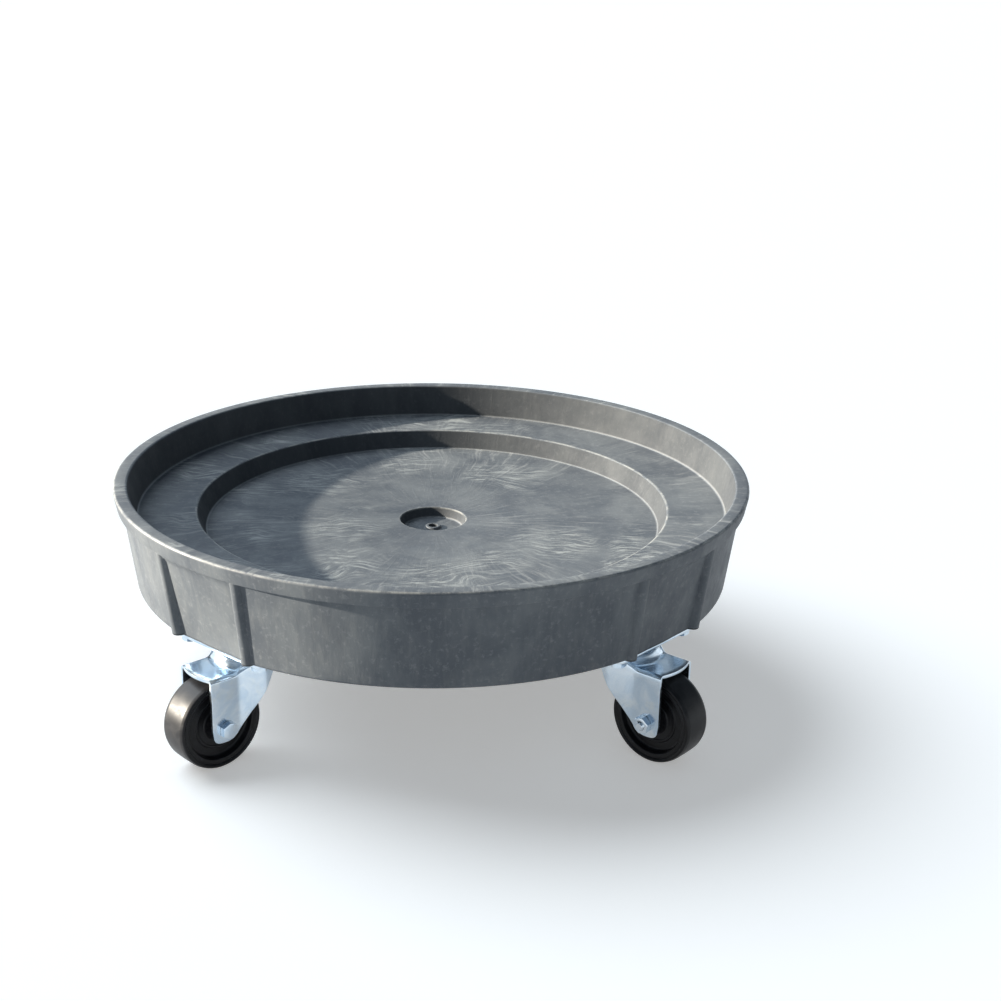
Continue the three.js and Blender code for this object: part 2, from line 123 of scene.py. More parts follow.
# ---- caster -------------------------------------------------------------------------------
PLATE = (78, 121, 3.1)
PLATE_CORNER = 7
SHEET = 3  # thickness of the fork's sheet
CROWN_TOP = 98
BEND = 4.2  # outside radius of the bend from crown to leg
NOSE_X = 61.5  # front of the crown
LEG_OUT_X = 57.4  # a leg runs from here, straight at LEG_Y to CREASE_X, then flares out
LEG_Y = 25.7
CREASE_X = 27
FLARE = (3, 36.5)
LEG_IN_X = -5
CROWN_R = 37
AXLE_R = 4.5
AXLE_HEX_R = 8.7  # from the middle to a corner of the bolt's head or the nut
HUB_HALF = 21.6
WHEEL_HALF = 17.4
LEG_EDGE = ((-6, 99), (-4.6, 94), (-1, 85.5), (4.5, 74.2), (10.5, 64.9), (17, 56.2), (23, 47.2),
            (27, 41), (30.5, 36.4), (35, 33), (40, 31.5), (45, 31.4), (50, 31.9), (53, 33),
            (55.2, 35), (56.6, 38), (57.2, 41), (58, 60))  # lower edge: (x, height)
BALLS = (6, 24, 3)  # how many, on what radius, of what radius
ROLLERS = (14, 8.6, 1.25)


# ---- mesh helpers -------------------------------------------------------------------------
ARC_STEP = math.radians(14)  # longest turn between two points of a rounded corner


def fillet(corners, closed=True):
    """Corners (a, b, radius) of an outline, with each corner rounded to its radius."""
    points = []
    count = len(corners)
    for i, (a, b, radius) in enumerate(corners):
        if radius == 0 or (not closed and i in (0, count - 1)):
            points.append((a, b))
            continue
        here = np.array((a, b), float)
        back = np.array(corners[i - 1][:2], float) - here
        ahead = np.array(corners[(i + 1) % count][:2], float) - here
        back /= np.linalg.norm(back)
        ahead /= np.linalg.norm(ahead)
        inner = math.acos(max(-1, min(1, float(back @ ahead))))
        reach = radius / math.tan(inner / 2)
        centre = here + (back + ahead) / np.linalg.norm(back + ahead) * radius / math.sin(inner / 2)
        first, last = here + back * reach - centre, here + ahead * reach - centre
        turn = math.pi - inner
        steps = max(2, math.ceil(turn / ARC_STEP))
        side = math.copysign(1, first[0] * last[1] - first[1] * last[0])
        for k in range(steps + 1):
            c, s = math.cos(side * turn * k / steps), math.sin(side * turn * k / steps)
            points.append((centre[0] + c * first[0] - s * first[1],
                           centre[1] + s * first[0] + c * first[1]))
    return points


def grid_faces(columns, rows, closed=True):
    """Faces between columns of points that go all the way round. closed joins last row to first."""
    faces = []
    for i in range(columns):
        for j in range(rows if closed else rows - 1):
            a, b = i * rows, ((i + 1) % columns) * rows
            k = (j + 1) % rows
            faces.append((a + j, b + j, b + k, a + k))
    return faces


def new_mesh(name, vertices, faces, weld=0.001):
    """A mesh in metres from points in millimetres; points nearer than weld become one."""
    mesh = bpy.data.meshes.new(name)
    mesh.from_pydata([tuple(float(c) * MM for c in v) for v in vertices], [], faces)
    bm = bmesh.new()
    bm.from_mesh(mesh)
    bmesh.ops.remove_doubles(bm, verts=bm.verts, dist=weld * MM)
    bmesh.ops.dissolve_degenerate(bm, edges=bm.edges, dist=weld * MM)
    bmesh.ops.recalc_face_normals(bm, faces=bm.faces)
    bm.to_mesh(mesh)
    bm.free()
    return mesh


def turned(name, profile, steps=96, closed=True):
    """Outline of (radius, height) points turned about Z."""
    vertices = []
    for i in range(steps):
        c, s = math.cos(TAU * i / steps), math.sin(TAU * i / steps)
        vertices += [(r * c, r * s, h) for r, h in profile]
    return new_mesh(name, vertices, grid_faces(steps, len(profile), closed))


def finished(mesh, modifiers=()):
    """The mesh with modifiers applied. Each is (type, settings)."""
    holder = bpy.data.objects.new(mesh.name, mesh)
    bpy.context.scene.collection.objects.link(holder)
    for kind, settings in modifiers:
        modifier = holder.modifiers.new(kind, kind)
        for key, value in settings.items():
            setattr(modifier, key, value)
    graph = bpy.context.evaluated_depsgraph_get()
    result = bpy.data.meshes.new_from_object(holder.evaluated_get(graph))
    name = mesh.name
    bpy.data.objects.remove(holder)
    bpy.data.meshes.remove(mesh)
    result.name = name
    return result


def combined(mesh, others, operation="UNION"):
    """One solid from several closed meshes; the others are used up."""
    holders = []
    for other in others:
        holder = bpy.data.objects.new(other.name, other)
        bpy.context.scene.collection.objects.link(holder)
        holders.append(holder)
    result = finished(mesh, [
        ("BOOLEAN", {"operation": operation, "solver": "MANIFOLD", "object": holder})
        for holder in holders])
    for holder in holders:
        used = holder.data
        bpy.data.objects.remove(holder)
        bpy.data.meshes.remove(used)
    return result


def smooth(mesh, degrees=32):
    """Shades smooth, apart from edges sharper than an angle."""
    mesh.polygons.foreach_set("use_smooth", [True] * len(mesh.polygons))
    mesh.set_sharp_from_angle(angle=math.radians(degrees))
    return mesh


def rounded_edges(width, degrees=40, segments=2):
    return ("BEVEL", {"width": width * MM, "segments": segments, "limit_method": "ANGLE",
                      "angle_limit": math.radians(degrees), "use_clamp_overlap": True})


def prism(name, outline, bottom, top):
    """A closed (x, y) outline raised from bottom to top."""
    count = len(outline)
    vertices = [(x, y, bottom) for x, y in outline] + [(x, y, top) for x, y in outline]
    faces = [tuple(range(count))[::-1], tuple(range(count, 2 * count))]
    faces += [(i, (i + 1) % count, count + (i + 1) % count, count + i) for i in range(count)]
    return new_mesh(name, vertices, faces)


def block(name, centre, size):
    x, y = size[0] / 2, size[1] / 2
    outline = [(centre[0] - x, centre[1] - y), (centre[0] + x, centre[1] - y),
               (centre[0] + x, centre[1] + y), (centre[0] - x, centre[1] + y)]
    return prism(name, outline, centre[2] - size[2] / 2, centre[2] + size[2] / 2)


def disc(name, radius, bottom, top, x=0, y=0, steps=48):
    outline = [(x + radius * math.cos(TAU * i / steps), y + radius * math.sin(TAU * i / steps))
               for i in range(steps)]
    return prism(name, outline, bottom, top)


def spun(mesh, angle):
    """A copy of the mesh turned about Z by an angle in radians."""
    copy = mesh.copy()
    copy.transform(Matrix.Rotation(angle, 4, "Z"))
    return copy


# ---- deck ---------------------------------------------------------------------------------
def line_at(z, foot, top):
    """Radius at height z on the line through two (radius, height) points."""
    return foot[0] + (z - foot[1]) * (top[0] - foot[0]) / (top[1] - foot[1])


def soft_max(a, b):
    """The larger of two, with the corner between them rounded over BLEND."""
    near = np.maximum(BLEND - np.abs(a - b), 0) / BLEND
    return np.maximum(a, b) + near * near * BLEND / 4


def deck_angles():
    """Angles round the deck: even steps, with fine ones across each rib."""
    fine = [at + side * RIB_ANGLE + step for at in CASTER_ANGLES for side in (-1, 1)
            for step in np.arange(-FINE_REACH, FINE_REACH, FINE_STEP)]
    kept = []
    for angle in sorted(set(np.arange(0, 360, EVEN_STEP)) | {a % 360 for a in fine}):
        if not kept or angle - kept[-1] > LEAST_STEP:
            kept.append(angle)
    return np.radians(kept)


def wall_radius(theta, z, plain):
    """Radius of the outside wall at each angle, with the ribs and flat panels over the casters."""
    radius = np.full_like(theta, plain)
    rib_line = line_at(z, RIB_FOOT, RIB_TOP)
    for at in np.radians(CASTER_ANGLES):
        off = (theta - at + math.pi) % TAU - math.pi
        ahead = np.abs(off) < math.radians(NEAR_CASTER)
        foot = PANEL_FOOT[0] / np.where(ahead, np.cos(off), 1)
        panel = foot + (z - PANEL_FOOT[1]) / (PANEL_TOP[1] - PANEL_FOOT[1]) * (PANEL_TOP[0] - foot)
        panel = panel + COVE[1] * (max(z - COVE[0], 0) / (PANEL_TOP[1] - COVE[0])) ** 2
        on_panel = ahead & (np.abs(plain * np.sin(off)) < PANEL_HALF)
        radius = np.where(on_panel, panel, radius)
        for side in (-1, 1):
            across = np.abs(rib_line * np.sin(off - side * math.radians(RIB_ANGLE))) / RIB_R
            on_rib = ahead & (across < 1)
            bulge = np.maximum(1 - across ** RIB_POWER, 0) ** (1 / RIB_POWER)
            rib = rib_line + (bulge - 1) * RIB_DEPTH
            radius = np.where(on_rib, soft_max(radius, rib), radius)
    return radius


def deck_profile():
    """The deck's section, from the hole in the pit up and out over the floors, down the wall and
    back underneath. The outside wall has extra points, for the ribs and panels."""
    corners = [
        (4.6, PIT_Z - SKIN, 0.8), (4.6, PIT_Z + 2.4, 0.7), (7.4, PIT_Z + 2.4, 1), (9, PIT_Z, 0.8),
        (30.2, PIT_Z, 2.2), (34.4, FLOOR_Z, 1.3),
        (234.4, FLOOR_Z, 2.6), (242.5, LEDGE_Z, 3.4), (302.8, LEDGE_Z, 3.2), (310.9, RIM_TOP, 3),
        RIM_CORNER, (*COLLAR, 0.9), (*WALL_TOP, 0.9), (*WALL_FOOT, 4),
        (FOOT_IN_R, DECK_BOTTOM, 1.2), (306, LEDGE_Z - SKIN, 3), (249, LEDGE_Z - SKIN, 3),
        (241.5, FLOOR_Z - SKIN, 3), (42, FLOOR_Z - SKIN, 3), (36.5, PIT_Z - SKIN, 3)]
    points = fillet(corners)
    profile = []
    for (r, z), (next_r, next_z) in zip(points, points[1:] + points[:1]):
        profile.append((r, z))
        if is_wall(r, z) and z - next_z > 20:
            for k in range(1, WALL_ROWS):
                share = k / WALL_ROWS
                profile.append((r + (next_r - r) * share, z + (next_z - z) * share))
    return profile


def is_wall(r, z):
    """True on the outside wall below the collar."""
    return r > line_at(z, WALL_FOOT, WALL_TOP) - 5.5 and z < COLLAR[1] + 0.4


def deck_shell():
    theta = deck_angles()
    rows = []
    for r, z in deck_profile():
        radius = wall_radius(theta, z, r) if is_wall(r, z) else np.full_like(theta, r)
        height = np.full_like(theta, z)
        rows.append(np.stack([radius * np.cos(theta), radius * np.sin(theta), height], 1))
    vertices = np.stack(rows, 1).reshape(-1, 3)
    return new_mesh("deck_moulding", vertices, grid_faces(len(theta), len(rows)))


def bolt_places():
    return [(i * BOLT_X, j * BOLT_Y) for i in (-1, 1) for j in (-1, 1)]


def deck_stiffening():
    """Pads, bosses and webs under the floors, trimmed to the hollow."""
    pieces = []
    for at in CASTER_ANGLES:
        parts = [block("pad", (CASTER_R, 0, DECK_BOTTOM + PAD[2] / 2), PAD)]
        for side in (-1, 1):
            y = side * (PAD[1] - WEB) / 2
            height = LEDGE_Z - DECK_BOTTOM
            centre = (CASTER_R, y, DECK_BOTTOM + height / 2)
            parts.append(block("pad_web", centre, (PAD[0], WEB, height)))
        inner_x = CASTER_R - (PAD[0] - WEB) / 2
        height = BOSS_TOP - DECK_BOTTOM
        centre = (inner_x, 0, DECK_BOTTOM + height / 2)
        parts.append(block("pad_web", centre, (WEB, PAD[1], height)))
        parts += [disc("boss", BOSS_R, DECK_BOTTOM, BOSS_TOP, CASTER_R + x, y)
                  for x, y in bolt_places()]
        pieces += [spun(part, math.radians(at)) for part in parts]
    span = FOOT_IN_R - WEB_START_R
    height = LEDGE_Z - WEB_BOTTOM
    centre = (WEB_START_R + span / 2, 0, WEB_BOTTOM + height / 2)
    web = block("web", centre, (span, WEB, height))
    pieces += [spun(web, TAU * i / WEB_COUNT) for i in range(WEB_COUNT)]
    ring_in, ring_out, ring_top = MID_RING_R - WEB / 2, MID_RING_R + WEB / 2, FLOOR_Z - 3
    ring = turned("ring", [(ring_in, WEB_BOTTOM), (ring_out, WEB_BOTTOM), (ring_out, ring_top),
                           (ring_in, ring_top)], 180)
    bite = 2  # how far the stiffening reaches into the skin, so that the two become one solid
    hollow = turned("hollow", [
        (MIDDLE_R, PIT_Z - SKIN + bite), (MIDDLE_R, DECK_BOTTOM), (FOOT_IN_R + bite, DECK_BOTTOM),
        (306 + bite, LEDGE_Z - SKIN + bite), (249 - bite, LEDGE_Z - SKIN + bite),
        (241.5 - bite, FLOOR_Z - SKIN + bite), (42 - bite, FLOOR_Z - SKIN + bite),
        (36.5 - bite, PIT_Z - SKIN + bite)], 240)
    whole = combined(ring, pieces)
    whole = combined(whole, [hollow], "INTERSECT")
    return finished(whole, [rounded_edges(0.9, 50)])


def deck_moulding():
    holes = []
    for at in CASTER_ANGLES:
        parts = [disc("pocket", POCKET_R, DECK_BOTTOM - 1, POCKET_TOP, CASTER_R, 0)]
        parts += [disc("hole", BOLT_R + CLEARANCE, DECK_BOTTOM - 1, BOLT_TOP + CLEARANCE,
                       CASTER_R + x, y, 32) for x, y in bolt_places()]
        holes += [spun(part, math.radians(at)) for part in parts]
    underside = combined(deck_stiffening(), holes, "DIFFERENCE")
    return smooth(combined(deck_shell(), [underside]), 28)


# ---- caster pieces, swivel axis at x = 0, fork trailing to +x ------------------------------
def hexagon(corner_r, angle):
    """Distance from the middle to the side of a hexagon, by direction."""
    half = math.pi / 6
    return corner_r * math.cos(half) / math.cos((angle + half) % (2 * half) - half)


def hex_head(name, corner_r, height, chamfered=(False, True), bore=0, steps=96):
    """A hexagon with its corners turned off in a cone at one or both ends, from z = 0 up."""
    flat = corner_r * math.cos(math.pi / 6) * 0.96
    slope = 0.58  # of the cone
    vertices = []
    for i in range(steps):
        angle = TAU * i / steps
        side = hexagon(corner_r, angle)
        drop = (side - flat) * slope
        low = drop if chamfered[0] else 0
        high = height - drop if chamfered[1] else height
        rows = [(bore, height), (flat, height), (side, high), (side, low), (flat, 0), (bore, 0)]
        vertices += [(r * math.cos(angle), r * math.sin(angle), z) for r, z in rows]
    return new_mesh(name, vertices, grid_faces(steps, len(rows), bore > 0))


def placed(mesh, *steps):
    """The mesh moved by matrices, first to last. Distances in them are millimetres."""
    for step in steps:
        matrix = step.copy()
        matrix.translation *= MM
        mesh.transform(matrix)
    return mesh


def shift(x=0, y=0, z=0):
    return Matrix.Translation((x, y, z))


def turn_x(degrees):
    return Matrix.Rotation(math.radians(degrees), 4, "X")


def joined(name, parts):
    """Several closed meshes as one mesh."""
    bm = bmesh.new()
    for part in parts:
        bm.from_mesh(part)
        bpy.data.meshes.remove(part)
    mesh = bpy.data.meshes.new(name)
    bm.to_mesh(mesh)
    bm.free()
    return mesh


def threaded(name, radius, bottom, top, pitch=1.25, depth=0.55):
    """A shank with ridges of the thread's pitch and a chamfered end at the top."""
    root, chamfer = radius - depth, 0.8
    profile = [(0, bottom), (root, bottom)]
    z = bottom
    while z + pitch < top - 1:
        profile += [(root, z + 0.1 * pitch), (radius, z + 0.45 * pitch),
                    (radius, z + 0.6 * pitch), (root, z + 0.95 * pitch)]
        z += pitch
    profile += [(root, z), (root - chamfer, top), (0, top)]
    return turned(name, profile, 32, closed=False)


def top_plate():
    half_x, half_y = PLATE[0] / 2, PLATE[1] / 2
    corners = [(-half_x, -half_y), (half_x, -half_y), (half_x, half_y), (-half_x, half_y)]
    outline = fillet([(x, y, PLATE_CORNER) for x, y in corners])
    under = PLATE_TOP - PLATE[2]
    flat = prism("top_plate", outline, under, PLATE_TOP)
    holes = [disc("hole", BOLT_R + CLEARANCE, under - 1, PLATE_TOP + 1, x, y, 32)
             for x, y in bolt_places()]
    holes.append(disc("hole", PIN_HOLE_R, under - 1, PLATE_TOP + 1))
    flat = finished(combined(flat, holes, "DIFFERENCE"), [rounded_edges(0.5, 50)])
    skirt = turned("skirt", fillet([
        (29.2, under + 1, 0), (29.2, 110.6, 0.4), (30.4, 109.6, 0.5), (33, 109.6, 0.8),
        (33, 113.6, 1.6), (36.8, under + 0.4, 1.2), (36.8, under + 1, 0)]), 120)
    race = turned("race", fillet([
        (19, under + 1, 0), (19, 114.6, 0.4), (21.5, 114.6, 0.3), (24, 115.3, 2.5),
        (26.5, 114.6, 0.3), (28.5, 114.6, 0.4), (28.5, under + 1, 0)]))
    return smooth(joined("top_plate", [flat, skirt, race]), 35)


def mount_bolt():
    under = PLATE_TOP - PLATE[2] - CLEARANCE
    flange = turned("flange", fillet([
        (0, under, 0), (9.2, under, 0.2), (9.2, under - 0.7, 0.4), (7.2, under - 1.6, 0.3),
        (0, under - 1.6, 0)], False), 64, closed=False)
    head = placed(hex_head("head", 8, 5.6), turn_x(180), shift(z=under - 1.5))
    shank = threaded("shank", BOLT_R, under - 0.5, BOLT_TOP)
    return smooth(joined("mount_bolt", [flange, head, shank]), 35)


def kingpin():
    foot_top = 100.2
    head = PLATE_TOP + CLEARANCE
    profile = fillet([
        (0, 95, 0), (8, 95, 1.2), (9.5, 97, 1.5), (9.5, foot_top, 0.8), (6, foot_top, 0.3),
        (6, head, 0.3), (12, head, 0.6), (12, head + 2.2, 1.6), (8, head + 4, 2),
        (0, head + 4, 0)], False)
    return smooth(turned("kingpin", profile, 64, closed=False))


def lower_race():
    return smooth(turned("lower_race", fillet([
        (PIN_HOLE_R, 100.5, 0.3), (13.5, 100.5, 1), (18, 102.6, 1), (18, 104.7, 0.5),
        (PIN_HOLE_R, 104.7, 0.3)]), 72))


def swivel_bearing():
    """The balls of the swivel, joined to their retaining ring."""
    ring = turned("retainer", fillet([(19.2, BALL_Z - 0.7, 0.2), (28.6, BALL_Z - 0.7, 0.2),
                                      (28.6, BALL_Z + 0.7, 0.2), (19.2, BALL_Z + 0.7, 0.2)]))
    count, circle, radius = BALLS
    balls = []
    for i in range(count):
        arc = [(radius * math.cos(math.radians(a)), radius * math.sin(math.radians(a)))
               for a in range(-90, 91, 10)]
        ball = turned("ball", arc, 36, closed=False)
        angle = TAU * i / count
        x, y = circle * math.cos(angle), circle * math.sin(angle)
        balls.append(placed(ball, shift(x, y, BALL_Z)))
    return smooth(combined(ring, balls), 40)


def crown_path():
    """Half the crown's edge seen from above, from the middle of the nose to the middle of the
    back. Each point is (x, y, kind), where kind says whether a leg hangs from it."""
    points = []
    inset = LEG_Y - BEND
    nose_steps, back_steps, step_length, crease_round = 14, 23, 1.2, 9
    for k in range(nose_steps + 1):
        y = inset * k / nose_steps
        points.append((NOSE_X - (NOSE_X - LEG_OUT_X) * (y / inset) ** 2, y, "edge"))
    bend_line = fillet([(LEG_OUT_X, LEG_Y, 0), (CREASE_X, LEG_Y, crease_round),
                        (*FLARE, crease_round), (LEG_IN_X, FLARE[1], 0)], False)
    dense = []
    for (x0, y0), (x1, y1) in zip(bend_line, bend_line[1:]):
        steps = max(1, round(math.hypot(x1 - x0, y1 - y0) / step_length))
        dense += [(x0 + (x1 - x0) * k / steps, y0 + (y1 - y0) * k / steps) for k in range(steps)]
    dense.append(bend_line[-1])
    points += [(x, y, "leg") for x, y in dense]
    start = math.atan2(FLARE[1] - BEND, LEG_IN_X - 0.5)
    start_r = math.hypot(FLARE[1] - BEND, LEG_IN_X)
    for k in range(back_steps + 1):
        share = k / back_steps
        angle = start + (math.pi - start) * share
        radius = start_r + (CROWN_R - start_r) * min(1, share * 5) ** 0.7
        points.append((radius * math.cos(angle), radius * math.sin(angle), "edge"))
    return points


def leg_bottom(x):
    """Height of a leg's lower edge at x along the trail."""
    xs, zs = zip(*LEG_EDGE)
    return float(np.interp(x, xs, zs))


def hat_height(r):
    """Height of the crown's pressed dome at a distance from the swivel axis."""
    shape = fillet([(0, HAT_TOP, 0), (29.4, HAT_TOP, 2.5), (33.4, CROWN_TOP, 7.5),
                    (60, CROWN_TOP, 0)], False)
    rs, zs = zip(*shape)
    return float(np.interp(r, rs, zs))


def fork_sheet():
    """The outer face of the pressed fork: crown, dome, bends and legs, as one sheet."""
    hat_rows = [PIN_HOLE_R, 12, 18, 22] + [24 + 0.75 * k for k in range(19)]
    bend_rows = [math.radians(a) for a in (15, 30, 45, 60, 75, 90)]
    leg_rows, rim_rows = 18, 4
    path = crown_path()
    legs = [i for i, p in enumerate(path) if p[2] == "leg"]
    vertices, faces = [], []
    for mirror in (1, -1):
        columns = []
        for i, (x, y, kind) in enumerate(path):
            if kind == "leg":
                before, after = path[max(i - 1, legs[0])], path[min(i + 1, legs[-1])]
                along = Vector((after[0] - before[0], after[1] - before[1])).normalized()
                normal = Vector((along.y, -along.x))
                if normal.y < 0:
                    normal = -normal
                edge = Vector((x, y)) - normal * BEND
            else:
                edge = Vector((x, y))
            reach = edge.length
            rows = [r for r in hat_rows if r < reach - 0.6]
            rows += [reach] * (len(hat_rows) - len(rows))
            extra = [rows[-1] + (reach - rows[-1]) * k / rim_rows for k in range(1, rim_rows + 1)]
            column = []
            for r in rows + extra:
                spot = edge * (r / reach)
                column.append((spot.x, mirror * spot.y, hat_height(r)))
            if kind == "leg":
                top = hat_height(reach)
                for a in bend_rows:
                    spot = edge + normal * BEND * math.sin(a)
                    column.append((spot.x, mirror * spot.y, top - BEND * (1 - math.cos(a))))
                z = top - BEND
                low = min(leg_bottom(x), z - 0.5)
                for k in range(1, leg_rows + 1):
                    column.append((x, mirror * y, z + (low - z) * k / leg_rows))
            columns.append(column)
        for left, right in zip(columns, columns[1:]):
            base = len(vertices)
            rows = min(len(left), len(right))
            vertices += left[:rows] + right[:rows]
            for j in range(rows - 1):
                quad = (base + j, base + rows + j, base + rows + j + 1, base + j + 1)
                faces.append(quad if mirror > 0 else quad[::-1])
    return new_mesh("fork", vertices, faces, weld=0.02)


def fork():
    sheet = finished(fork_sheet(), [("SOLIDIFY", {
        "thickness": SHEET * MM, "offset": -1, "use_even_offset": True,
        "use_quality_normals": True})])
    return smooth(finished(sheet, [rounded_edges(0.35, 55)]), 50)


def along_axle(mesh):
    """A piece made along Z, turned so that its top points to +Y and put on the wheel's axle."""
    return placed(mesh, turn_x(-90), shift(AXLE_X, 0, WHEEL_R))


def axle_bolt():
    face = LEG_Y + CLEARANCE
    head = placed(hex_head("head", AXLE_HEX_R, 5.6), shift(z=face + 0.4))
    washer = turned("washer", fillet([
        (0, face, 0), (8.2, face, 0.2), (8.2, face + 0.6, 0.2), (0, face + 0.6, 0)], False),
        64, closed=False)
    shank = placed(threaded("shank", AXLE_R, -face + 1, 35), turn_x(180))
    return smooth(along_axle(joined("axle_bolt", [head, washer, shank])), 35)


def axle_nut():
    height = 6.8
    nut = hex_head("axle_nut", AXLE_HEX_R, height, (True, True), AXLE_R + CLEARANCE)
    nut = placed(nut, shift(z=-height), Matrix.Rotation(math.radians(12), 4, "Z"),
                 shift(z=-(LEG_Y + CLEARANCE)))
    return smooth(along_axle(nut), 35)


def axle_sleeve():
    half = LEG_Y - SHEET - CLEARANCE
    return smooth(along_axle(turned("axle_sleeve", fillet([
        (4.8, -half, 0.4), (7, -half, 0.4), (7, half, 0.4), (4.8, half, 0.4)]), 64)))


def roller_bearing():
    """Rollers between the two rings of their cage."""
    count, circle, radius = ROLLERS
    half = 17.5
    outline = fillet([(0, -half, 0), (radius, -half, 0.3), (radius, half, 0.3),
                      (0, half, 0)], False)
    parts = []
    for i in range(count):
        roller = turned("roller", outline, 20, closed=False)
        angle = TAU * i / count
        parts.append(placed(roller, shift(circle * math.cos(angle), circle * math.sin(angle))))
    for end in (-19, 17):
        parts.append(turned("cage", fillet([(7.3, end, 0.2), (9.9, end, 0.2), (9.9, end + 2, 0.2),
                                            (7.3, end + 2, 0.2)]), 64))
    return smooth(along_axle(joined("roller_bearing", parts)), 40)


def wheel():
    """Section from the hub's end out over the dished face to the tread, and the same mirrored."""
    half = [
        (10.25, HUB_HALF, 0.6), (14.4, HUB_HALF, 1), (15.6, 10.2, 2), (22, 9.6, 1),
        (22.8, 10.4, 0.5), (24.6, 10.4, 0.5), (25.4, 9.4, 1), (33.4, 8.8, 2.5), (35, 15.2, 1.2),
        (38.2, 15.6, 0.4), (38.7, 15.1, 0.4), (39.6, 15.1, 0.4), (40.1, 15.8, 0.4),
        (WHEEL_R - 1.6, WHEEL_HALF, 1.6), (WHEEL_R - 0.3, 12.6, 3), (WHEEL_R, 0, 60)]
    outline = half + [(r, -y, f) for r, y, f in half[-2::-1]]
    return smooth(along_axle(turned("wheel", fillet(outline), 160)), 40)


# ---- assembly -----------------------------------------------------------------------------
FIXED = {"top_plate": (top_plate, "zinc_plate"), "kingpin": (kingpin, "zinc_plate"),
         "lower_race": (lower_race, "zinc_plate")}
SWIVELLING = {"swivel_bearing": (swivel_bearing, "bearing_steel"), "fork": (fork, "zinc_plate"),
              "axle_bolt": (axle_bolt, "zinc_plate"), "axle_nut": (axle_nut, "zinc_plate"),
              "axle_sleeve": (axle_sleeve, "zinc_plate")}
ROLLING = {"roller_bearing": (roller_bearing, "bearing_steel"), "wheel": (wheel, "wheel_rubber")}


def piece(name, mesh, body, node, matrix=None):
    """An object that rides on a body and stands for one CAD node."""
    made = bpy.data.objects.new(name, mesh)
    bpy.context.scene.collection.objects.link(made)
    if matrix is not None:
        made.matrix_world = matrix
    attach(made, body)
    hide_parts(node)
    return made


def heading(vector):
    """The turn about Z that takes +X to a vector's direction."""
    return Matrix.Rotation(math.atan2(vector.y, vector.x), 4, "Z")


def assemble():
    """Makes every piece. Gives the meshes of each material slot; the casters share theirs."""
    made = {"deck_plastic": [deck_moulding()], "zinc_plate": [], "bearing_steel": [],
            "wheel_rubber": []}
    piece("deck_moulding", made["deck_plastic"][0], "deck", "deck")
    meshes = {}
    for parts in (FIXED, SWIVELLING, ROLLING):
        for part, (make, slot) in parts.items():
            meshes[part] = make()
            made[slot].append(meshes[part])
    bolt = mount_bolt()
    made["zinc_plate"].append(bolt)
    for place in PLACES:
        pivot, axle = PIVOTS[f"{place}_swivel_turn"], PIVOTS[f"{place}_wheel_spin"]
        at_pivot = Matrix.Translation((pivot.x * MM, pivot.y * MM, 0))
        plate_frame = at_pivot @ heading(pivot)
        fork_frame = at_pivot @ heading(axle - pivot)
        for parts, body, matrix in ((FIXED, "deck", plate_frame),
                                    (SWIVELLING, f"{place}_swivel", fork_frame),
                                    (ROLLING, f"{place}_wheel", fork_frame)):
            for part, (_, slot) in parts.items():
                piece(f"{place}_{part}_fine", meshes[part], body, f"{place}_{part}", matrix)
        for i, (x, y) in enumerate(bolt_places()):
            spot = plate_frame @ Matrix.Translation((x * MM, y * MM, 0))
            node = f"{place}_mount_bolt_{i + 1}"
            piece(f"{node}_fine", bolt, "deck", node, spot)
    return made


